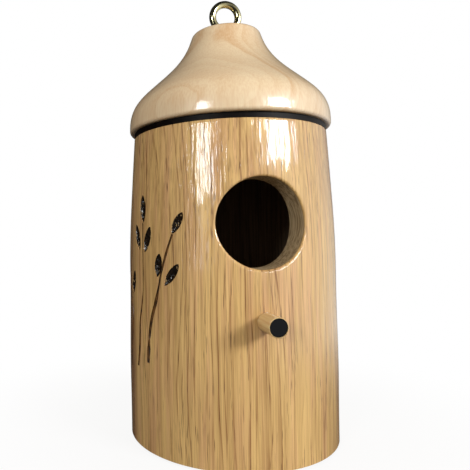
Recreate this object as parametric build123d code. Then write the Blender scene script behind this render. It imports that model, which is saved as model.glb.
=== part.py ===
from build123d import *
import math
import os

# Turned wooden hummingbird house that hangs from a screw eye. Millimetres, +Z up.
# The origin is the centre of the barrel's underside; the entrance and the perch face -Y.

# Barrel: a bored, slightly swelled cylinder of coarse-grained hardwood
barrel_height = 115.5
barrel_belly_radius = 40.0
barrel_swell = 3.0
barrel_base_round = 2.0
barrel_top_bevel = 0.3
wall_thickness_at_top = 9.0
floor_thickness = 9.0
# Where the wall stands between the top radius (0) and the belly radius (1), from the foot up
swell_height_shares = (0.0, 0.10, 0.25, 0.45, 0.65, 0.85)
swell_radius_shares = (0.963, 0.967, 1.0, 0.880, 0.800, 0.383)

# Entrance, bored through the front wall
entrance_radius = 15.2
entrance_below_barrel_top = 34.5
entrance_bevel = 0.6

# Recess turned into the underside, and the clean-out hole in front of the cover's pivot
recess_depth = 5.5
recess_clearance = 1.0
clean_out_to_pivot_screw = 3.0
clean_out_to_cavity_wall = 0.5

# Black band between the barrel and the roof
band_thickness = 2.0
band_inset = 0.1

# Roof: a cap of paler wood with a glued spigot, a flared lip and a slightly domed crown
roof_height = 39.1
roof_overhang = 1.75
roof_lip_round = 1.2
crown_radius = 13.2
crown_dome = 0.7
crown_round = 2.0
spigot_length = 10.0
spigot_clearance = 0.1
# Where the roof stands between the crown radius (0) and the lip radius (1), from the lip up
roof_height_shares = (0.0, 0.05, 0.13, 0.25, 0.385, 0.537, 0.683, 0.835, 0.94, 1.0)
roof_radius_shares = (1.0, 1.0, 0.990, 0.924, 0.741, 0.478, 0.258, 0.100, 0.030, 0.0)

# Screw eye: a loop of stout wire on a shank that is driven into the crown
eye_wire_radius = 1.35
eye_loop_radius = 5.2
eye_gap = 0.5
eye_shank_length = 18.0
eye_point_length = 3.0

# Perch: a dowel glued into a blind hole below the entrance, with a black plug in its end
perch_radius = 3.15
perch_below_entrance = 32.0
perch_reach = 10.0
perch_socket_depth = 9.0
perch_end_bevel = 0.25
plug_radius = 2.7
plug_depth = 3.0
plug_inset = 0.2
glue_clearance = 0.05

# Swing cover over the clean-out hole, shaped as a large and a small round joined by flanks
cover_thickness = 4.0
cover_overlap = 3.0
cover_pivot_end_radius = 6.5
cover_edge_round = 0.6
cover_gap = 0.3
running_clearance = 0.08

# Wood screws of the cover: a countersunk one to turn on, and a round-headed one as its stop
screw_radius = 1.5
screw_depth = 7.5
screw_point_length = 2.5
point_radius = 0.3
countersunk_radius = 3.0
countersunk_height = 1.7
countersunk_rim = 0.3
countersunk_inset = 0.2
stop_head_radius = 2.75
stop_head_height = 2.2
stop_head_round = 0.9
stop_gap = 0.3

# One overrun for every cut that has to run past a face, and how near a named edge must lie
overrun = 5.0
edge_match = 0.1

# Places worked out from the sizes above
barrel_top_radius = barrel_belly_radius - barrel_swell
cavity_radius = barrel_top_radius - wall_thickness_at_top
roof_lip_radius = barrel_top_radius + roof_overhang
entrance_height = barrel_height - entrance_below_barrel_top
perch_height = entrance_height - perch_below_entrance
cavity_floor = recess_depth + floor_thickness
roof_base = barrel_height + band_thickness
crown_edge_height = roof_base + roof_height
crown_height = crown_edge_height + crown_dome
cover_top = recess_depth - cover_gap
cover_bottom = cover_top - cover_thickness
clean_out_room = cavity_radius - clean_out_to_cavity_wall - clean_out_to_pivot_screw - screw_radius
clean_out_radius = clean_out_room / 2
pivot_to_hole = screw_radius + clean_out_to_pivot_screw + clean_out_radius
cover_hole_end_radius = clean_out_radius + cover_overlap
recess_radius = pivot_to_hole + cover_hole_end_radius + recess_clearance
screw_tip = recess_depth + screw_depth
flank_lean = math.asin((cover_hole_end_radius - cover_pivot_end_radius) / pivot_to_hole)
stop_distance = (cover_pivot_end_radius + stop_head_radius + stop_gap) / math.cos(flank_lean)
eye_gap_angle = math.degrees(math.asin((eye_wire_radius + eye_gap) / eye_loop_radius))


def turned(outline):
    """A solid of revolution about Z from a closed outline of radius and height."""
    return revolve(Plane.XZ * make_face(outline), Axis.Z)


def rod(radius, low, high, x=0, y=0):
    """An upright cylinder between two heights."""
    upright = Cylinder(radius, high - low, align=(Align.CENTER, Align.CENTER, Align.MIN))
    return Pos(x, y, low) * upright


def forward_rod(radius, inner, outer, height):
    """A cylinder that points along -Y, between two distances from the axis."""
    return Pos(0, 0, height) * Rot(90, 0, 0) * rod(radius, inner, outer)


def pointed_rod(radius, point_length, head, tip, growth=0):
    """An upright rod from its head to a blunt point, which may be above or below the head."""
    way = math.copysign(1, tip - head)
    return turned(
        Polyline(
            (0, head),
            (radius + growth, head),
            (radius + growth, tip - way * point_length),
            (point_radius + growth, tip + way * growth),
            (0, tip + way * growth),
            close=True,
        )
    )


def wall_point(height_share, radius_share):
    radius = barrel_top_radius + barrel_swell * radius_share
    return (radius, barrel_height * height_share)


def wall_points():
    swell = [wall_point(h, r) for h, r in zip(swell_height_shares, swell_radius_shares)]
    return swell + [(barrel_top_radius, barrel_height)]


def wall_radius(height):
    """The barrel's outer radius at a height, between the points of its outline."""
    points = wall_points()
    for (r_low, z_low), (r_high, z_high) in zip(points, points[1:]):
        if z_low <= height <= z_high:
            return r_low + (r_high - r_low) * (height - z_low) / (z_high - z_low)
    return barrel_belly_radius


def circles(body, radius, height):
    """The round edges of a body that have this radius and lie at this height."""
    edges = body.edges().filter_by(GeomType.CIRCLE)
    level = [e for e in edges if math.isclose(e.center().Z, height, abs_tol=edge_match)]
    return [e for e in level if math.isclose(e.radius, radius, abs_tol=edge_match)]


def barrel():
    wall = wall_points()
    foot_radius = wall[0][0]
    hollow = Polyline(
        wall[-1],
        (cavity_radius, barrel_height),
        (cavity_radius, cavity_floor),
        (0, cavity_floor),
        (0, recess_depth),
        (recess_radius, recess_depth),
        (recess_radius, 0),
        wall[0],
    )
    body = turned(Spline(*wall) + hollow)
    body = fillet(circles(body, foot_radius, 0), barrel_base_round)
    body = chamfer(circles(body, barrel_top_radius, barrel_height), barrel_top_bevel)
    body -= forward_rod(entrance_radius, 0, barrel_belly_radius + overrun, entrance_height)
    body = chamfer(entrance_mouth(body), entrance_bevel)
    socket_floor = wall_radius(perch_height) - perch_socket_depth
    socket_radius = perch_radius + glue_clearance
    body -= forward_rod(socket_radius, socket_floor, barrel_belly_radius + overrun, perch_height)
    body -= rod(clean_out_radius, 0, cavity_floor + overrun, y=-pivot_to_hole)
    pilot = pointed_rod(screw_radius, screw_point_length, 0, screw_tip, glue_clearance)
    return body - pilot - Pos(stop_distance, 0, 0) * pilot


def entrance_mouth(body):
    """The outer edge of the entrance."""
    found = []
    for edge in body.edges():
        box = edge.bounding_box()
        outside = box.max.Y < -cavity_radius and box.min.Y < -barrel_top_radius
        if outside and box.min.Z > entrance_height - entrance_radius - entrance_bevel:
            found.append(edge)
    return found


def joint_band():
    ring = rod(barrel_top_radius - band_inset, barrel_height, roof_base)
    return ring - rod(cavity_radius, barrel_height - overrun, roof_base + overrun)


def roof_point(height_share, radius_share):
    radius = crown_radius + (roof_lip_radius - crown_radius) * radius_share
    return (radius, roof_base + roof_height * height_share)


def roof():
    slope = [roof_point(h, r) for h, r in zip(roof_height_shares, roof_radius_shares)]
    spigot_radius = cavity_radius - spigot_clearance
    spigot_end = barrel_height - spigot_length
    dome = TangentArc((0, crown_height), slope[-1], tangent=(1, 0))
    inside = Polyline(
        (0, crown_height),
        (0, spigot_end),
        (spigot_radius, spigot_end),
        (spigot_radius, roof_base),
        slope[0],
    )
    body = turned(Spline(*slope) + dome + inside)
    body = fillet(circles(body, roof_lip_radius, roof_base), roof_lip_round)
    body = fillet(circles(body, crown_radius, crown_edge_height), crown_round)
    return body - eye_shank(glue_clearance)


def eye_shank(growth=0):
    head = crown_height + eye_wire_radius
    tip = crown_height - eye_shank_length
    return pointed_rod(eye_wire_radius, eye_point_length, head, tip, growth)


def screw_eye():
    loop_centre = crown_height + eye_loop_radius + eye_wire_radius
    loop = Torus(eye_loop_radius, eye_wire_radius, major_angle=360 - eye_gap_angle)
    loop = Pos(0, 0, loop_centre) * Rot(90, 0, 0) * Rot(0, 0, -90) * loop
    return loop + eye_shank()


def perch_dowel():
    end = wall_radius(perch_height) + perch_reach
    inner = wall_radius(perch_height) - perch_socket_depth + glue_clearance
    dowel = forward_rod(perch_radius, inner, end, perch_height)
    front = dowel.faces().sort_by(Axis.Y)[0]
    dowel = chamfer(front.edges(), perch_end_bevel)
    return dowel - forward_rod(plug_radius + glue_clearance, end - plug_depth, end + overrun, perch_height)


def perch_end_plug():
    end = wall_radius(perch_height) + perch_reach
    return forward_rod(plug_radius, end - plug_depth, end - plug_inset, perch_height)


def clean_out_cover():
    hole_end = Pos(0, -pivot_to_hole) * Circle(cover_hole_end_radius)
    pivot_end = Circle(cover_pivot_end_radius)
    plate = make_hull((hole_end.edges() + pivot_end.edges()))
    body = extrude(Pos(0, 0, cover_bottom) * plate, cover_thickness)
    lower_rim = body.faces().sort_by(Axis.Z)[0].edges()
    body = fillet(lower_rim, cover_edge_round)
    return body - countersunk_screw(running_clearance)


def countersunk_screw(growth=0):
    """The pivot screw, or with a growth the space in the cover that it turns in."""
    head = cover_bottom - growth if growth else cover_bottom + countersunk_inset
    rim = cover_bottom + countersunk_inset + countersunk_rim
    waist = rim + countersunk_height
    shank = pointed_rod(screw_radius, screw_point_length, waist, screw_tip, growth)
    cone = turned(
        Polyline(
            (0, head),
            (countersunk_radius + growth, head),
            (countersunk_radius + growth, rim + growth),
            (screw_radius + growth, waist + growth),
            (0, waist + growth),
            close=True,
        )
    )
    return cone + shank


def cover_pivot_screw():
    return countersunk_screw()


def cover_stop_screw():
    head = rod(stop_head_radius, recess_depth - stop_head_height, recess_depth)
    lower_face = head.faces().sort_by(Axis.Z)[0]
    head = fillet(lower_face.edges(), stop_head_round)
    shank = pointed_rod(screw_radius, screw_point_length, recess_depth - stop_head_height / 2, screw_tip)
    return Pos(stop_distance, 0, 0) * (head + shank)


pieces = {
    "barrel": barrel,
    "joint_band": joint_band,
    "roof": roof,
    "screw_eye": screw_eye,
    "perch_dowel": perch_dowel,
    "perch_end_plug": perch_end_plug,
    "clean_out_cover": clean_out_cover,
    "cover_pivot_screw": cover_pivot_screw,
    "cover_stop_screw": cover_stop_screw,
}

os.makedirs("parts", exist_ok=True)
for name, make in pieces.items():
    export_step(make(), f"parts/{name}.step")
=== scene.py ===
import math

import bmesh
import bpy
from mathutils import Matrix, Vector


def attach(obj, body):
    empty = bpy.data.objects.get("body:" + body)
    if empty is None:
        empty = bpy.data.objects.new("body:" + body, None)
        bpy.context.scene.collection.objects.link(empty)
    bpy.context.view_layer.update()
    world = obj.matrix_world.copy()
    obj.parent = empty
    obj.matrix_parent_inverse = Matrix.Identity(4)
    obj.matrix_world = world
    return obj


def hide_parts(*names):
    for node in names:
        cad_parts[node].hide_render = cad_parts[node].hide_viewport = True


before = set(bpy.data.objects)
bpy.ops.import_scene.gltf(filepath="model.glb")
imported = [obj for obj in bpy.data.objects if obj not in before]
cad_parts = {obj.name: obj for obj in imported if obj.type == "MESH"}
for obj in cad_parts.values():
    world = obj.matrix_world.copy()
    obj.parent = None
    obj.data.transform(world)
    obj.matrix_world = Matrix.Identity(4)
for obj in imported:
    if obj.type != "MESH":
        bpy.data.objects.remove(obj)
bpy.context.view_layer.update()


# Barrel. One length of oak with its grain upright, turned round outside with a slight swell below
# the middle, bored from above for the nest room and hollowed underneath for the cover. Then the
# entrance, the perch's socket, the clean-out hole and two pilot holes are bored into it.

# Sizes are in metres, heights from the foot. The wall is given as (radius, height).
barrel_height = 0.1155
barrel_wall = (
    (0.03989, 0.0),
    (0.0399, 0.01155),
    (0.0400, 0.02888),
    (0.03964, 0.05198),
    (0.0394, 0.07508),
    (0.03815, 0.09818),
    (0.0370, barrel_height),
)
turned_steps = 288
foot_round = 0.002
top_round = 0.0003
nest_radius = 0.028
nest_floor = 0.0145
recess_radius = 0.0315
recess_depth = 0.0055
entrance_radius = 0.0152
entrance_height = 0.081
mouth_round = 0.0009
varnished_mouth = 0.9 * mouth_round
perch_height = 0.049
socket_radius = 0.0032
socket_floor = 0.0307
clean_out_radius = 0.0115
clean_out_reach = 0.016
stop_screw_reach = 0.01103
pilot_radius = 0.00155
pilot_top = 0.013
crease_angle = math.radians(28)

# Gloss-varnished oak, sawn nearly on the quarter at the front. It shows fine upright streaks with
# coarse dark pores where each ring begins, and broader and rosier shades between them. Its far left
# is painted darker brown as painted shade, where the side turns away from the light. The varnish has
# sunk a little into the grain, which breaks a window's reflection into upright strips. The sizes of
# the grain are in millimetres, and the pores are drawn a little wider than real ones, which are too
# fine to show.
oak_light = "#e7bd77"
oak_pink = "#e4b37a"
oak_dark = "#91612f"
oak_pore = "#553413"
oak_ring_width = 2.6
oak_pore_width = 0.38
oak_pore_length = 8.0
oak_fibre_width = 0.42
oak_fibre_length = 34.0
varnish_ripple_width = 1.8
varnish_ripple_length = 22.0
# Painted shade: between these two places across the barrel, towards its far left, the oak darkens to
# brown.
left_shade_start = -0.0382
left_shade_full = -0.0402


def linear(hex_colour):
    """The linear colour, with alpha, of an sRGB hex value."""
    parts = [int(hex_colour[i : i + 2], 16) / 255 for i in (1, 3, 5)]
    return [p / 12.92 if p <= 0.04045 else ((p + 0.055) / 1.055) ** 2.4 for p in parts] + [1]


def node(tree, kind, settings=(), links=()):
    """Adds a node, gives it its settings and fixed inputs, and links what feeds it.

    An input goes by its name, or by its number where several have one name, as in a Math node.
    """
    made = tree.nodes.new("ShaderNode" + kind)
    for name, value in dict(settings).items():
        if isinstance(name, int) or name in made.inputs:
            made.inputs[name].default_value = value
        else:
            setattr(made, name, value)
    for name, source in dict(links).items():
        tree.links.new(source, made.inputs[name])
    return made


# A Mix node takes its two colours in these inputs and gives the mixed one in this output.
colour_a = 6
colour_b = 7
mixed_colour = 2


def new_material(name):
    """An empty material with its shader and output."""
    material = bpy.data.materials.new(name)
    material.use_nodes = True
    material.node_tree.nodes.clear()
    shader = node(material.node_tree, "BsdfPrincipled")
    node(material.node_tree, "OutputMaterial", links={"Surface": shader.outputs[0]})
    return material, material.node_tree, shader


def streaks(tree, width, length, low=0.3, high=0.7, detail=2.0, move=(0, 0, 0)):
    """Noise of this width and length along Z, in millimetres, eased from 0 at low to 1 at high."""
    place = node(tree, "TexCoord").outputs["Object"]
    stretch = (1000 / width, 1000 / width, 1000 / length)
    place = node(tree, "Mapping", {"Scale": stretch, "Location": move}, {"Vector": place})
    noise = node(tree, "TexNoise", {"Scale": 1.0, "Detail": detail}, {"Vector": place.outputs[0]})
    eased = {"interpolation_type": "SMOOTHSTEP", "From Min": low, "From Max": high}
    return node(tree, "MapRange", eased, {"Value": noise.outputs["Fac"]}).outputs[0]


def sum_of(tree, *terms):
    """The sum of some outputs, each times its share."""
    total = None
    for source, share in terms:
        part = node(tree, "Math", {"operation": "MULTIPLY", 1: share}, {0: source}).outputs[0]
        if total is not None:
            part = node(tree, "Math", {"operation": "ADD"}, {0: total, 1: part}).outputs[0]
        total = part
    return total


def growth_rings(tree, pith, lean, width, wander):
    """Each ring's own random value, and the place from 0 to 1 across it.

    The rings run round the pith, which lies this many millimetres from the axis and leans by
    these angles. They are of uneven width, and stray from round by up to wander rings.
    """
    place = node(tree, "TexCoord").outputs["Object"]
    moved = {"Location": (-pith[0], -pith[1], 0), "Rotation": lean, "Scale": (1000, 1000, 1000)}
    place = node(tree, "Mapping", moved, {"Vector": place}).outputs[0]
    flat = node(tree, "VectorMath", {"operation": "MULTIPLY", 1: (1, 1, 0)}, {0: place}).outputs[0]
    radius = node(tree, "VectorMath", {"operation": "LENGTH"}, {0: flat}).outputs["Value"]
    straying = streaks(tree, width=20, length=90, low=0, high=1)
    count = sum_of(tree, (radius, 1 / width), (straying, wander))
    slow = {"noise_dimensions": "1D", "Scale": 0.4, "Detail": 1.0}
    uneven = node(tree, "TexNoise", slow, {"W": count}).outputs["Fac"]
    count = sum_of(tree, (count, 1.0), (uneven, 2.5))
    number = node(tree, "Math", {"operation": "FLOOR"}, {0: count}).outputs[0]
    chance = node(tree, "TexWhiteNoise", {"noise_dimensions": "1D"}, {"W": number}).outputs["Value"]
    return chance, node(tree, "Math", {"operation": "FRACT"}, {0: count}).outputs[0]


varnished_oak, tree, shader = new_material("varnished_oak")
chance, across = growth_rings(
    tree, pith=(188, -68), lean=(0.012, 0.01, 0), width=oak_ring_width, wander=3.0
)
fade = {
    "interpolation_type": "SMOOTHSTEP",
    "From Min": 0.05,
    "From Max": 0.32,
    "To Min": 1.0,
    "To Max": 0.0,
}
early = node(tree, "MapRange", fade, {"Value": across}).outputs[0]
broken = streaks(tree, width=1.0, length=30, low=0.3, high=0.6, detail=3.0, move=(3, 1, 2))
lines = node(tree, "Math", {"operation": "MULTIPLY_ADD", 1: 0.6, 2: 0.4}, {0: chance}).outputs[0]
lines = node(tree, "Math", {"operation": "MULTIPLY"}, {0: lines, 1: early}).outputs[0]
lines = node(tree, "Math", {"operation": "MULTIPLY"}, {0: lines, 1: broken}).outputs[0]
fibre = streaks(tree, oak_fibre_width, oak_fibre_length, low=0.38, high=0.62, detail=3.0)
strip = streaks(tree, width=1.7, length=60, low=0.38, high=0.62, detail=3.0, move=(1, 6, 0))
broad = streaks(tree, width=16, length=60, detail=1.0, move=(7, 5, 0))
# Painted shade: the far left side darkens to brown where it turns away from the light, broken up by
# ragged streaks.
place = node(tree, "TexCoord").outputs["Object"]
sideways = node(tree, "SeparateXYZ", links={"Vector": place}).outputs["X"]
left_shade_edge = {
    "interpolation_type": "SMOOTHSTEP",
    "From Min": left_shade_start,
    "From Max": left_shade_full,
}
left_shade = node(tree, "MapRange", left_shade_edge, {"Value": sideways}).outputs[0]
ragged = streaks(tree, width=7, length=80, low=0.2, high=0.6, move=(4, 4, 0))
left_shade = node(tree, "Math", {"operation": "MULTIPLY"}, {0: left_shade, 1: ragged}).outputs[0]
brown = sum_of(
    tree, (lines, 0.65), (broken, 0.1), (fibre, 0.26), (strip, 0.2), (broad, 0.18), (left_shade, 0.8)
)
brown = node(tree, "MapRange", {"From Min": 0.15, "From Max": 1.1}, {"Value": brown}).outputs[0]
rosy = streaks(tree, width=3.0, length=40, low=0.4, high=0.7, move=(9, 2, 4))
tones = {"data_type": "RGBA", colour_a: linear(oak_light), colour_b: linear(oak_pink)}
pale = node(tree, "Mix", tones, {"Factor": rosy}).outputs[mixed_colour]
browned = {"data_type": "RGBA", colour_b: linear(oak_dark)}
wood = node(tree, "Mix", browned, {"Factor": brown, colour_a: pale}).outputs[mixed_colour]
pore = streaks(tree, oak_pore_width, oak_pore_length, low=0.58, high=0.7, detail=1.0)
clusters = streaks(tree, width=3.0, length=25, low=0.4, high=0.65, move=(5, 5, 5))
crowd = sum_of(tree, (early, 0.5), (clusters, 0.5))
pore = node(tree, "Math", {"operation": "MULTIPLY"}, {0: pore, 1: crowd}).outputs[0]
pored = {"data_type": "RGBA", colour_b: linear(oak_pore)}
wood = node(tree, "Mix", pored, {"Factor": pore, colour_a: wood}).outputs[mixed_colour]
tree.links.new(wood, shader.inputs["Base Color"])
ripple = streaks(tree, varnish_ripple_width, varnish_ripple_length, low=0, high=1, move=(0, 4, 9))
relief = sum_of(tree, (ripple, 1.0), (pore, -0.12), (fibre, -0.05))
bump = node(tree, "Bump", {"Strength": 1.0, "Distance": 0.0002}, {"Height": relief})
tree.links.new(bump.outputs[0], shader.inputs["Normal"])
tree.links.new(bump.outputs[0], shader.inputs["Coat Normal"])
shader.inputs["Roughness"].default_value = 0.65
shader.inputs["Coat Weight"].default_value = 1.0
shader.inputs["Coat Roughness"].default_value = 0.06

# Bare oak, as the borer leaves it in the holes, where no varnish reaches: dull and greyed.
bare_oak, tree, shader = new_material("bare_oak")
bare = streaks(tree, width=0.9, length=25, detail=3.0)
tones = {"data_type": "RGBA", colour_a: linear("#bfa67f"), colour_b: linear("#826a48")}
bare = node(tree, "Mix", tones, {"Factor": bare})
tree.links.new(bare.outputs[mixed_colour], shader.inputs["Base Color"])
shader.inputs["Roughness"].default_value = 0.75

# The same bare oak in the nest room, rough and painted much darker as painted shade, so that the
# inside stays dark.
nest_shade_oak, tree, shader = new_material("nest_room_shaded_oak")
bare = streaks(tree, width=0.9, length=25, detail=3.0)
tones = {"data_type": "RGBA", colour_a: linear("#6a5540"), colour_b: linear("#4a3926")}
bare = node(tree, "Mix", tones, {"Factor": bare})
tree.links.new(bare.outputs[mixed_colour], shader.inputs["Base Color"])
shader.inputs["Roughness"].default_value = 0.85


def only(piece):
    """Makes this piece the only one selected, and the active one."""
    bpy.ops.object.select_all(action="DESELECT")
    piece.select_set(True)
    bpy.context.view_layer.objects.active = piece


def face_outwards(piece):
    """Turns every face of a closed piece outwards."""
    only(piece)
    bpy.ops.object.mode_set(mode="EDIT")
    bpy.ops.mesh.select_all(action="SELECT")
    bpy.ops.mesh.normals_make_consistent(inside=False)
    bpy.ops.object.mode_set(mode="OBJECT")


def turned(name, outline, material, steps):
    """A solid turned about Z from an outline of (radius, height). Points marked True are smooth."""
    line = bpy.data.curves.new(name, "CURVE")
    line.dimensions = "3D"
    line.resolution_u = 16
    spline = line.splines.new("BEZIER")
    spline.bezier_points.add(len(outline) - 1)
    for point, (radius, height, *smooth) in zip(spline.bezier_points, outline):
        point.co = (radius, 0, height)
        point.handle_left_type = point.handle_right_type = "AUTO" if smooth else "VECTOR"
    piece = bpy.data.objects.new(name, line)
    bpy.context.scene.collection.objects.link(piece)
    only(piece)
    bpy.ops.object.convert(target="MESH")
    piece = bpy.context.object
    bpy.ops.object.mode_set(mode="EDIT")
    bpy.ops.mesh.select_all(action="SELECT")
    bpy.ops.mesh.spin(steps=steps, angle=2 * math.pi, center=(0, 0, 0), axis=(0, 0, 1))
    bpy.ops.mesh.select_all(action="SELECT")
    bpy.ops.mesh.remove_doubles(threshold=0.000001)
    bpy.ops.object.mode_set(mode="OBJECT")
    face_outwards(piece)
    piece.data.materials.append(material)
    return piece


def round_ring(piece, radius, height, width, steps):
    """Rounds the ring edge that a turned piece has at this radius and height."""
    hair = 0.00001
    only(piece)
    bpy.ops.object.mode_set(mode="EDIT")
    bpy.ops.mesh.select_mode(type="EDGE")
    bpy.ops.mesh.select_all(action="DESELECT")
    mesh = bmesh.from_edit_mesh(piece.data)
    for edge in mesh.edges:
        edge.select_set(
            all(
                abs(corner.co.xy.length - radius) < hair and abs(corner.co.z - height) < hair
                for corner in edge.verts
            )
        )
    bmesh.update_edit_mesh(piece.data)
    bpy.ops.mesh.bevel(offset=width, segments=steps, affect="EDGES")
    bpy.ops.object.mode_set(mode="OBJECT")


def wall_radius(height):
    """The barrel's outer radius at this height."""
    for (low_radius, low), (high_radius, high) in zip(barrel_wall, barrel_wall[1:]):
        if low <= height <= high:
            return low_radius + (high_radius - low_radius) * (height - low) / (high - low)
    return barrel_wall[-1][0]


def cut(piece, cutter):
    """Takes the cutter out of the piece. What it leaves has the cutter's material."""
    carving = piece.modifiers.new("cut", "BOOLEAN")
    carving.operation = "DIFFERENCE"
    carving.solver = "EXACT"
    carving.material_mode = "TRANSFER"
    carving.object = cutter
    only(piece)
    bpy.ops.object.modifier_apply(modifier=carving.name)
    bpy.data.objects.remove(cutter)


def borer(name, radius, start, end, x=0, y=0, height=None):
    """A rod to bore with: upright at x and y, or to the front at this height if it has one."""
    middle = (start + end) / 2
    upright = height is None
    bpy.ops.object.select_all(action="DESELECT")
    bpy.ops.mesh.primitive_cylinder_add(
        vertices=96,
        radius=radius,
        depth=end - start,
        location=(x, y, middle) if upright else (x, -middle, height),
        rotation=(0, 0, 0) if upright else (math.radians(90), 0, 0),
    )
    cutter = bpy.context.object
    cutter.name = name
    cutter.data.materials.append(bare_oak)
    return cutter


barrel_outline = [
    (0, recess_depth),
    (recess_radius, recess_depth),
    (recess_radius, 0),
    barrel_wall[0],
    *((radius, height, True) for radius, height in barrel_wall[1:-1]),
    barrel_wall[-1],
    (nest_radius, barrel_height),
    (nest_radius, nest_floor),
    (0, nest_floor),
]
barrel = turned("barrel_turned", barrel_outline, varnished_oak, turned_steps)
round_ring(barrel, barrel_wall[0][0], 0, foot_round, steps=5)
round_ring(barrel, barrel_wall[-1][0], barrel_height, top_round, steps=3)

# The nest room is left bare. The rest of what is turned is varnished, the recess underneath too.
slack = 0.0001
# The nest room's faces get the bare oak darkened as painted shade.
barrel.data.materials.append(nest_shade_oak)
for face in barrel.data.polygons:
    within = face.center.xy.length < nest_radius + slack
    inside = within and nest_floor - slack < face.center.z < barrel_height - slack
    face.material_index = 1 if inside else 0

# The entrance's cutter flares at its mouth by a round that follows the wall's own curve, so the
# edge is eased by as much all the way round. The varnish goes over the round.
mouth_arc = [math.radians(a) for a in (18, 36, 54, 72, 90)]
mouth = [
    (entrance_radius + mouth_round * (1 - math.sin(a)), mouth_round * (1 - math.cos(a)))
    for a in mouth_arc
]
lip_depth = -0.0006
lip_radius = mouth[0][0] + (mouth[0][1] - lip_depth) / math.tan(mouth_arc[0])
bore_start = -0.010
bore_end = 0.030
bore_outline = [
    (0, bore_start),
    (lip_radius, bore_start),
    (lip_radius, lip_depth),
    *mouth,
    (entrance_radius, bore_end),
    (0, bore_end),
]
bore = turned("entrance_cutter", bore_outline, bare_oak, steps=192)
bore.data.materials.append(varnished_oak)
for face in bore.data.polygons:
    face.material_index = 1 if face.center.z < varnished_mouth else 0
for corner in bore.data.vertices:
    x, up, depth = corner.co
    height = entrance_height + up
    front = -math.sqrt(wall_radius(height) ** 2 - x**2)
    corner.co = (x, front + depth, height)
face_outwards(bore)
cut(barrel, bore)

# Each borer starts, and where it goes right through also ends, a little clear of the wood.
past_wall = 0.045
below_floor = 0.001
above_floor = nest_floor + 0.003
cut(barrel, borer("socket_cutter", socket_radius, socket_floor, past_wall, height=perch_height))
clean_out = borer("clean_out_cutter", clean_out_radius, below_floor, above_floor, y=-clean_out_reach)
cut(barrel, clean_out)
for pilot_x in (0, stop_screw_reach):
    cut(barrel, borer("pilot_cutter", pilot_radius, below_floor, pilot_top, x=pilot_x))


# Leaf sprigs. Three stems, each with a leaf at its top and a pair below, are cut into the wall
# left of the entrance: the leaves with a gouge and then painted, the stems as burnt grooves.

# Places are (degrees round the wall from the entrance, height). A leaf has its tip, its foot and
# its width, and the third value of a stem's point is its width there.
leaves = (
    ((-69.6, 0.0922), (-68.0, 0.0818), 0.0038),
    ((-76.4, 0.0815), (-71.4, 0.0722), 0.0038),
    ((-61.4, 0.0806), (-66.0, 0.0716), 0.0038),
    ((-39.9, 0.0851), (-45.7, 0.0780), 0.0034),
    ((-54.0, 0.0712), (-55.7, 0.0630), 0.0037),
    ((-42.0, 0.0677), (-50.5, 0.0602), 0.0034),
    ((-78.3, 0.0645), (-82.4, 0.0556), 0.0040),
    ((-98.8, 0.0643), (-91.7, 0.0569), 0.0034),
    ((-104.1, 0.0772), (-99.4, 0.0693), 0.0034),
)
stems = (
    (
        (-45.6, 0.0778, 0.0008),
        (-49.5, 0.0710, 0.0011),
        (-52.9, 0.0641, 0.0009),
        (-54.6, 0.0597, 0.0009),
        (-56.8, 0.0545, 0.0017),
        (-60.4, 0.0476, 0.0016),
        (-62.0, 0.0420, 0.0016),
        (-62.3, 0.0405, 0.0010),
        (-62.7, 0.0375, 0.0022),
        (-63.1, 0.0323, 0.0017),
    ),
    (
        (-68.3, 0.0820, 0.0009),
        (-67.8, 0.0689, 0.0007),
        (-67.8, 0.0590, 0.0004),
        (-69.5, 0.0520, 0.0010),
        (-71.2, 0.0473, 0.0012),
        (-71.9, 0.0370, 0.0016),
        (-73.7, 0.0298, 0.0013),
    ),
    (
        (-99.3, 0.0690, 0.0007),
        (-90.0, 0.0575, 0.0013),
        (-83.0, 0.0488, 0.0018),
        (-83.7, 0.0396, 0.0020),
        (-85.1, 0.0279, 0.0013),
    ),
)
leaf_depth = 0.0009
# A leaf's outline is an ellipse at 0.5 and pinches to sharp ends as this grows.
leaf_fullness = 0.64
# The shallowest tenth of a leaf's dish, at its rim, is left as bare varnished wood, and more of it
# towards the foot, from this place on, where -1 is the foot and 1 the tip. The bare rim is partly
# where the brush stopped and partly a painted highlight of the carved edge. The bare foot is a
# painted highlight: pale wood in place of the paint's glints there.
leaf_bare_sheen_rim = 0.1
leaf_bare_glint_foot = 1.0
leaf_bare_glint_start = -0.45

# Thick gloss black paint, brushed into the gouges. It lies unevenly, so it glints in small spots.
# Pale flecks of wood colour are painted into it as painted highlights, for its brighter glints.
gouge_paint, tree, shader = new_material("gloss_black_paint")
speck = streaks(tree, width=0.5, length=0.9, low=0.35, high=0.8)
tones = {"data_type": "RGBA", colour_a: linear("#0f0a06"), colour_b: linear("#332416")}
speck = node(tree, "Mix", tones, {"Factor": speck}).outputs[mixed_colour]
# Painted highlight: pale flecks that stand in for glints of the gloss paint.
glint_fleck = streaks(tree, width=0.8, length=1.3, low=0.63, high=0.7, detail=1.0, move=(2, 8, 3))
glint_flecked = {"data_type": "RGBA", colour_b: linear("#a88e64")}
speck = node(tree, "Mix", glint_flecked, {"Factor": glint_fleck, colour_a: speck}).outputs[mixed_colour]
tree.links.new(speck, shader.inputs["Base Color"])
relief = streaks(tree, width=0.7, length=1.4, low=0, high=1)
bump = node(tree, "Bump", {"Strength": 1.0, "Distance": 0.00028}, {"Height": relief})
tree.links.new(bump.outputs[0], shader.inputs["Normal"])
shader.inputs["Roughness"].default_value = 0.12

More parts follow.
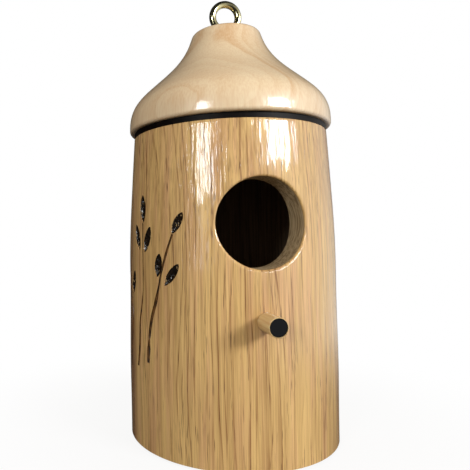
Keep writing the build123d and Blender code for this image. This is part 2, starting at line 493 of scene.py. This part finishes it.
# Burnt oak, drawn with a hot point and varnished over: dark brown, paler where the point was quick.
burnt_groove, tree, shader = new_material("burnt_groove")
char = streaks(tree, width=1.0, length=3.5, low=0.35, high=0.65)
tones = {"data_type": "RGBA", colour_a: linear("#3d2812"), colour_b: linear("#7f5629")}
char = node(tree, "Mix", tones, {"Factor": char})
tree.links.new(char.outputs[mixed_colour], shader.inputs["Base Color"])
shader.inputs["Roughness"].default_value = 0.35


def on_wall(degrees, height):
    """The point of the wall at this angle from the entrance and this height."""
    angle = math.radians(degrees)
    radius = wall_radius(height)
    return Vector((radius * math.sin(angle), -radius * math.cos(angle), height))


gouges = []
for tip, base, width in leaves:
    bpy.ops.object.select_all(action="DESELECT")
    bpy.ops.mesh.primitive_uv_sphere_add(segments=24, ring_count=20, radius=1)
    gouge = bpy.context.object
    gouge.data.materials.append(gouge_paint)
    gouge.data.materials.append(varnished_oak)
    top = on_wall(*tip)
    foot = on_wall(*base)
    middle = (top + foot) / 2
    outward = Vector((middle.x, middle.y, 0)).normalized()
    middle = outward * wall_radius(middle.z) + Vector((0, 0, middle.z))
    along = (top - foot).normalized()
    aside = along.cross(outward)
    # Bare faces get the varnished oak: at the rim partly the paint's real edge and partly painted
    # highlight, at the foot painted highlight for the paint's glints.
    bare_and_glint = []
    for corner in gouge.data.vertices:
        x, y, s = corner.co
        span = max(1 - s * s, 0.0001)
        fullness = span**leaf_fullness
        dish = y * abs(y) / span
        bare_and_glint.append(dish + leaf_bare_sheen_rim + leaf_bare_glint_foot * max(0, leaf_bare_glint_start - s))
        corner.co = (
            middle
            + aside * (x / span**0.5 * fullness * width / 2)
            + outward * (dish * fullness * leaf_depth)
            + along * (s * (top - foot).length / 2)
        )
    for face in gouge.data.polygons:
        face.material_index = 1 if sum(bare_and_glint[v] for v in face.vertices) > 0 else 0
    gouges.append(gouge)
bpy.ops.object.select_all(action="DESELECT")
for gouge in gouges:
    gouge.select_set(True)
bpy.context.view_layer.objects.active = gouges[0]
bpy.ops.object.join()
face_outwards(gouges[0])
cut(barrel, gouges[0])

# With a bevel of half a metre, a point's radius is the groove's width there in metres.
line = bpy.data.curves.new("stem_cutters", "CURVE")
line.dimensions = "3D"
line.resolution_u = 8
line.bevel_depth = 0.5
line.bevel_resolution = 2
line.use_fill_caps = True
for stem in stems:
    spline = line.splines.new("BEZIER")
    spline.bezier_points.add(len(stem) - 1)
    for point, (degrees, height, width) in zip(spline.bezier_points, stem):
        point.co = on_wall(degrees, height)
        point.radius = width
        point.handle_left_type = point.handle_right_type = "AUTO"
grooves = bpy.data.objects.new("stem_cutters", line)
bpy.context.scene.collection.objects.link(grooves)
only(grooves)
bpy.ops.object.convert(target="MESH")
grooves = bpy.context.object
grooves.data.materials.append(burnt_groove)
cut(barrel, grooves)

# With its sprigs cut, the barrel is finished.
only(barrel)
bpy.ops.object.shade_smooth_by_angle(angle=crease_angle)
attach(barrel, "house")
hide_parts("barrel")


# Joint band. A thin ring of wood, turned nearly as wide as the barrel's top and glued in under the
# roof, where it shows as a black line.

# Black-stained wood, unvarnished: it drinks in the stain, so it is deep brown-black and hardly
# shines.
black_stain, tree, shader = new_material("black_stained_wood")
stain = streaks(tree, width=1.5, length=4.0, low=0.35, high=0.75)
tones = {"data_type": "RGBA", colour_a: linear("#070403"), colour_b: linear("#150c06")}
stain = node(tree, "Mix", tones, {"Factor": stain})
tree.links.new(stain.outputs[mixed_colour], shader.inputs["Base Color"])
shader.inputs["Roughness"].default_value = 0.5
shader.inputs["Specular IOR Level"].default_value = 0.12


def finish_node(name, material):
    """Gives a CAD part its material."""
    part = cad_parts[name]
    part.data.materials.clear()
    part.data.materials.append(material)


finish_node("joint_band", black_stain)


# Roof. A cap of pale, close-grained wood such as beech, turned with its crown, its lip and a
# spigot in one, and glued into the barrel's top.

# Gloss-varnished pale wood. Its grain is too close to see, and its rings show as faint pink arcs
# where the slope cuts them. The varnish has sunk less than on the oak, so reflections stay whole.
pale_light = "#f5dcb5"
pale_dark = "#dfb586"
pale_ring_width = 3.4

pale_wood, tree, shader = new_material("varnished_pale_wood")
chance, across = growth_rings(
    tree, pith=(70, -30), lean=(0.62, 0.3, 0), width=pale_ring_width, wander=1.5
)
late = node(tree, "MapRange", {"From Min": 0.3, "From Max": 0.93}, {"Value": across}).outputs[0]
drop = {"From Min": 0.93, "From Max": 1.0, "To Min": 1.0, "To Max": 0.0}
fall = node(tree, "MapRange", drop, {"Value": across}).outputs[0]
lines = node(tree, "Math", {"operation": "MULTIPLY"}, {0: late, 1: fall}).outputs[0]
lines = node(tree, "Math", {"operation": "MULTIPLY"}, {0: lines, 1: chance}).outputs[0]
fibre = streaks(tree, width=0.5, length=6.0, detail=3.0)
broad = streaks(tree, width=20, length=30, detail=1.0, move=(2, 5, 0))
pink = sum_of(tree, (lines, 0.7), (fibre, 0.34), (broad, 0.22))
tones = {"data_type": "RGBA", colour_a: linear(pale_light), colour_b: linear(pale_dark)}
wood = node(tree, "Mix", tones, {"Factor": pink})
tree.links.new(wood.outputs[mixed_colour], shader.inputs["Base Color"])
relief = streaks(tree, width=1.6, length=3.0, low=0, high=1)
bump = node(tree, "Bump", {"Strength": 1.0, "Distance": 0.00006}, {"Height": relief})
tree.links.new(bump.outputs[0], shader.inputs["Normal"])
tree.links.new(bump.outputs[0], shader.inputs["Coat Normal"])
shader.inputs["Roughness"].default_value = 0.45
shader.inputs["Coat Weight"].default_value = 1.0
shader.inputs["Coat Roughness"].default_value = 0.14
finish_node("roof", pale_wood)


# Hanging eye. A screw eye bent from one stout steel wire and driven into the crown, where only its
# ring stands out.

# Bright brass plating on steel wire: a pale, greenish yellow with sharp reflections and a little
# haze.
brass_plate, tree, shader = new_material("brass_plated_steel")
haze = streaks(tree, width=1.0, length=1.0, detail=3.0)
tones = {"data_type": "RGBA", colour_a: linear("#ddd4a8"), colour_b: linear("#c4b988")}
haze = node(tree, "Mix", tones, {"Factor": haze})
tree.links.new(haze.outputs[mixed_colour], shader.inputs["Base Color"])
shader.inputs["Metallic"].default_value = 1.0
shader.inputs["Roughness"].default_value = 0.14
finish_node("screw_eye", brass_plate)


# Perch. A birch dowel glued into its socket, its end bored out for a black plug that leaves only a
# thin rim of wood round it.
perch_radius = 0.00315
perch_reach = 0.010
perch_end_bevel = 0.00015
socket_clearance = 0.0001
plug_radius = 0.00292
plug_bevel = 0.0002
plug_socket_radius = 0.00295
plug_depth = 0.003
plug_inset = 0.0002

# Birch, sanded and thinly varnished: cream, even, with a faint grain along the dowel, about 0.7 mm
# wide and 11 mm long, and a satin shine.
birch, tree, shader = new_material("satin_birch")
place = node(tree, "TexCoord").outputs["Object"]
place = node(tree, "Mapping", {"Scale": (1400, 90, 1400)}, {"Vector": place}).outputs[0]
grain = node(tree, "TexNoise", {"Scale": 1.0, "Detail": 3.0}, {"Vector": place}).outputs["Fac"]
grain = node(tree, "MapRange", {"From Min": 0.3, "From Max": 0.7}, {"Value": grain}).outputs[0]
tones = {"data_type": "RGBA", colour_a: linear("#f2d498"), colour_b: linear("#d9ad70")}
grain = node(tree, "Mix", tones, {"Factor": grain})
tree.links.new(grain.outputs[mixed_colour], shader.inputs["Base Color"])
shader.inputs["Roughness"].default_value = 0.4
shader.inputs["Coat Weight"].default_value = 0.6
shader.inputs["Coat Roughness"].default_value = 0.2

# Moulded black plastic with a fine grain, drawn coarser than it is: nearly black, slightly blue,
# and without a highlight.
plug_black, tree, shader = new_material("black_plastic")
speck = streaks(tree, width=0.4, length=0.4, low=0, high=1)
tones = {"data_type": "RGBA", colour_a: linear("#040608"), colour_b: linear("#0a0c0f")}
speck = node(tree, "Mix", tones, {"Factor": speck})
tree.links.new(speck.outputs[mixed_colour], shader.inputs["Base Color"])
shader.inputs["Roughness"].default_value = 0.6
shader.inputs["Specular IOR Level"].default_value = 0.15

perch_end = wall_radius(perch_height) + perch_reach
plug_end = perch_end - plug_inset
dowel_outline = [
    (0, socket_floor + socket_clearance),
    (perch_radius, socket_floor + socket_clearance),
    (perch_radius, perch_end - perch_end_bevel),
    (perch_radius - perch_end_bevel, perch_end),
    (plug_socket_radius, perch_end),
    (plug_socket_radius, perch_end - plug_depth),
    (0, perch_end - plug_depth),
]
plug_outline = [
    (0, perch_end - plug_depth),
    (plug_radius, perch_end - plug_depth),
    (plug_radius, plug_end - plug_bevel),
    (plug_radius - plug_bevel, plug_end),
    (0, plug_end),
]
for name, outline, material, slot in (
    ("perch_dowel", dowel_outline, birch, "perch_wood"),
    ("perch_end_plug", plug_outline, plug_black, "plug_black"),
):
    rod = turned(name + "_turned", outline, material, steps=96)
    forward = Matrix.Rotation(math.radians(90), 4, "X")
    rod.data.transform(Matrix.Translation((0, 0, perch_height)) @ forward)
    only(rod)
    bpy.ops.object.shade_smooth_by_angle(angle=crease_angle)
    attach(rod, "house")
    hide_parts(name)


# Clean-out cover. A small plate of the same birch as the perch, sawn to shape, that closes the
# hole in the floor and swings aside on its screw.
finish_node("clean_out_cover", birch)


# Cover screws. Two wood screws, driven up into the barrel's floor: a countersunk one, on which the
# cover swings, and one whose round head stops it, shut or open. Both have a cross recess.
screw_radius = 0.0015
screw_taper_start = 0.0105
screw_tip_radius = 0.0003
pivot_head_radius = 0.003
pivot_head_face = 0.0014
pivot_head_rim = 0.0017
pivot_head_neck = 0.0034
stop_head_radius = 0.00275
stop_head_rim = 0.0042
stop_head_face = 0.0033
stop_head_face_radius = 0.00185
stop_head_curve = (0.002486, 0.003564)
cross_width = 0.0008
cross_depth = 0.0011
cross_turn = 0.35

# Bright zinc plating on steel: grey, a little blue, with soft reflections.
zinc, tree, shader = new_material("zinc_plated_steel")
haze = streaks(tree, width=0.8, length=0.8, low=0, high=1)
tones = {"data_type": "RGBA", colour_a: linear("#c9cbcb"), colour_b: linear("#aeb0ae")}
haze = node(tree, "Mix", tones, {"Factor": haze})
tree.links.new(haze.outputs[mixed_colour], shader.inputs["Base Color"])
shader.inputs["Metallic"].default_value = 1.0
shader.inputs["Roughness"].default_value = 0.3

screw_point = ((screw_radius, screw_taper_start), (screw_tip_radius, pilot_top), (0, pilot_top))
pivot_outline = [
    (0, pivot_head_face),
    (pivot_head_radius, pivot_head_face),
    (pivot_head_radius, pivot_head_rim),
    (screw_radius, pivot_head_neck),
    *screw_point,
]
stop_outline = [
    (0, stop_head_face),
    (stop_head_face_radius, stop_head_face),
    (*stop_head_curve, True),
    (stop_head_radius, stop_head_rim),
    (stop_head_radius, recess_depth),
    (screw_radius, recess_depth),
    *screw_point,
]
for name, outline, cross_length, x in (
    ("cover_pivot_screw", pivot_outline, 0.0036, 0),
    ("cover_stop_screw", stop_outline, 0.0030, stop_screw_reach),
):
    screw = turned(name + "_turned", outline, zinc, steps=64)
    for turn in (cross_turn, cross_turn + math.pi / 2):
        bpy.ops.object.select_all(action="DESELECT")
        bpy.ops.mesh.primitive_cube_add(
            size=1,
            location=(0, 0, outline[0][1]),
            rotation=(0, 0, turn),
            scale=(cross_length, cross_width, 2 * cross_depth),
        )
        cross_arm = bpy.context.object
        cross_arm.data.materials.append(zinc)
        cut(screw, cross_arm)
    screw.data.transform(Matrix.Translation((x, 0, 0)))
    only(screw)
    bpy.ops.object.shade_smooth_by_angle(angle=crease_angle)
    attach(screw, "house")
    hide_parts(name)


# Light. A broad window to the right and a smaller one to the left, as the two reflections in the
# varnish show, and a little light off a table below the left one.
window_colour = "#f7fbff"
window_distance = 1.5
window_target = Vector((0, 0, barrel_height * 0.7))


def window(name, azimuth, elevation, width, height, strength):
    """A window-like lamp, seen from the house at this azimuth from the front and elevation."""
    lamp = bpy.data.lights.new(name, "AREA")
    lamp.shape = "RECTANGLE"
    lamp.size = width
    lamp.size_y = height
    lamp.color = linear(window_colour)[:3]
    lamp.energy = strength * width * height * math.pi
    holder = bpy.data.objects.new(name, lamp)
    bpy.context.scene.collection.objects.link(holder)
    a = math.radians(azimuth)
    e = math.radians(elevation)
    way = Vector((math.sin(a) * math.cos(e), -math.cos(a) * math.cos(e), math.sin(e)))
    holder.location = window_target + way * window_distance
    holder.rotation_euler = way.to_track_quat("Z", "Y").to_euler()


window("right_window", azimuth=41, elevation=19.5, width=0.62, height=0.27, strength=36.5)
window("left_window", azimuth=-43, elevation=17, width=0.31, height=0.31, strength=23)
window("left_table", azimuth=-46, elevation=0, width=0.18, height=0.5, strength=4)


# Floor. Plain and pale, and it keeps the house's shadow. The camera sees it nearly white, other
# light meets it as grey, so that little comes up from below, and what shines sees a glare on it,
# brightest low down on the right.
floor_radius = 1.2
floor_colour = "#f4f2ee"
floor_shade = "#55534f"
glare_way = (0.91, -0.24, -0.34)
glare = {
    "interpolation_type": "SMOOTHSTEP",
    "From Min": 0.1,
    "From Max": 1.0,
    "To Min": 0.02,
    "To Max": 1.25,
}
whitening = {
    "interpolation_type": "SMOOTHSTEP",
    "From Min": 0.04,
    "From Max": 0.15,
    "To Min": 0.9,
    "To Max": 1.0,
}
mirroring = {
    "interpolation_type": "SMOOTHSTEP",
    "From Min": 0.05,
    "From Max": 0.3,
    "To Min": 0.0,
    "To Max": 1.0,
}

bpy.ops.object.select_all(action="DESELECT")
bpy.ops.mesh.primitive_circle_add(
    vertices=96, radius=floor_radius, fill_type="TRIFAN", location=(0, 0, 0)
)
floor = bpy.context.object
floor.name = "floor"
white_floor, tree, shader = new_material("white_floor")
shader.inputs["Roughness"].default_value = 0.9
output = next(n for n in tree.nodes if n.type == "OUTPUT_MATERIAL")
rays = node(tree, "LightPath").outputs
tones = {"data_type": "RGBA", colour_a: linear(floor_shade), colour_b: linear(floor_colour)}
seen = node(tree, "Mix", tones, {"Factor": rays["Is Camera Ray"]})
tree.links.new(seen.outputs[mixed_colour], shader.inputs["Base Color"])
place = node(tree, "TexCoord").outputs["Object"]
reach = node(tree, "VectorMath", {"operation": "LENGTH"}, {0: place}).outputs["Value"]
white = node(tree, "MapRange", whitening, {"Value": reach}).outputs[0]
to_camera = {0: white, 1: rays["Is Camera Ray"]}
white = node(tree, "Math", {"operation": "MULTIPLY"}, to_camera).outputs[0]
way = node(tree, "VectorMath", {"operation": "NORMALIZE"}, {0: place}).outputs[0]
right = node(tree, "VectorMath", {"operation": "DOT_PRODUCT", 1: glare_way}, {0: way})
glared = node(tree, "MapRange", glare, {"Value": right.outputs["Value"]}).outputs[0]
strength = node(tree, "Mix", {"B": 1.0}, {"Factor": rays["Is Camera Ray"], "A": glared}).outputs[0]
mirrored = node(tree, "MapRange", mirroring, {"Value": reach}).outputs[0]
to_glossy = {0: mirrored, 1: rays["Is Glossy Ray"]}
mirrored = node(tree, "Math", {"operation": "MULTIPLY"}, to_glossy).outputs[0]
share = node(tree, "Math", {"operation": "MAXIMUM"}, {0: white, 1: mirrored}).outputs[0]
glow = node(tree, "Emission", {"Color": (1, 1, 1, 1)}, {"Strength": strength})
mixed = node(tree, "MixShader", links={0: share, 1: shader.outputs[0], 2: glow.outputs[0]})
tree.links.new(mixed.outputs[0], output.inputs["Surface"])
floor.data.materials.append(white_floor)


# Room. White to the camera, and with the same glare for what shines. Its own light is soft and a
# little warm, from the left of the camera, and from behind the house, so that its back shows.
room_tint = "#fff3e2"
left_way = (-0.6, -0.74, 0.3)
left_light = {
    "interpolation_type": "SMOOTHSTEP",
    "From Min": -0.1,
    "From Max": 1.0,
    "To Min": 0.03,
    "To Max": 0.5,
}
back_way = (0.25, 0.9, 0.35)
back_light = {
    "interpolation_type": "SMOOTHSTEP",
    "From Min": 0.5,
    "From Max": 1.0,
    "To Min": 0.0,
    "To Max": 1.1,
}

world = bpy.data.worlds.new("studio")
bpy.context.scene.world = world
world.use_nodes = True
tree = world.node_tree
tree.nodes.clear()
rays = node(tree, "LightPath").outputs
way = node(tree, "TexCoord").outputs["Generated"]
left = node(tree, "VectorMath", {"operation": "DOT_PRODUCT", 1: left_way}, {0: way})
right = node(tree, "VectorMath", {"operation": "DOT_PRODUCT", 1: glare_way}, {0: way})
soft = node(tree, "MapRange", left_light, {"Value": left.outputs["Value"]}).outputs[0]
back = node(tree, "VectorMath", {"operation": "DOT_PRODUCT", 1: back_way}, {0: way})
behind = node(tree, "MapRange", back_light, {"Value": back.outputs["Value"]}).outputs[0]
soft = node(tree, "Math", {"operation": "ADD"}, {0: soft, 1: behind}).outputs[0]
glared = node(tree, "MapRange", glare, {"Value": right.outputs["Value"]}).outputs[0]
to_glossy = {"Factor": rays["Is Glossy Ray"], "A": soft, "B": glared}
strength = node(tree, "Mix", {}, to_glossy).outputs[0]
to_camera = {"Factor": rays["Is Camera Ray"], "A": strength}
strength = node(tree, "Mix", {"B": 1.0}, to_camera).outputs[0]
tones = {"data_type": "RGBA", colour_a: (1, 1, 1, 1), colour_b: linear(room_tint)}
tint = node(tree, "Mix", tones, {"Factor": rays["Is Diffuse Ray"]}).outputs[mixed_colour]
room = node(tree, "Background", {}, {"Color": tint, "Strength": strength})
node(tree, "OutputWorld", links={"Surface": room.outputs[0]})
bpy.context.scene.view_settings.view_transform = "Standard"


# Camera. The photograph was taken from close by, a little to the left of the entrance, and its
# frame was later cropped off-centre, which the sideways shift repeats.
camera_distance = 0.2035
camera_height = 0.0777
camera_azimuth = math.radians(-16.87)
camera_heading = math.radians(-6.94)
camera_roll = math.radians(-0.96)
camera_lens = 38.47
camera_side_shift = 0.2

camera = bpy.data.objects.new("camera", bpy.data.cameras.new("camera"))
bpy.context.scene.collection.objects.link(camera)
camera.data.lens = camera_lens
camera.data.shift_x = camera_side_shift
camera.data.clip_start = 0.01
camera.matrix_world = (
    Matrix.Translation(
        (
            camera_distance * math.sin(camera_azimuth),
            -camera_distance * math.cos(camera_azimuth),
            camera_height,
        )
    )
    @ Matrix.Rotation(camera_heading, 4, "Z")
    @ Matrix.Rotation(math.radians(90), 4, "X")
    @ Matrix.Rotation(camera_roll, 4, "Z")
)
bpy.context.scene.camera = camera
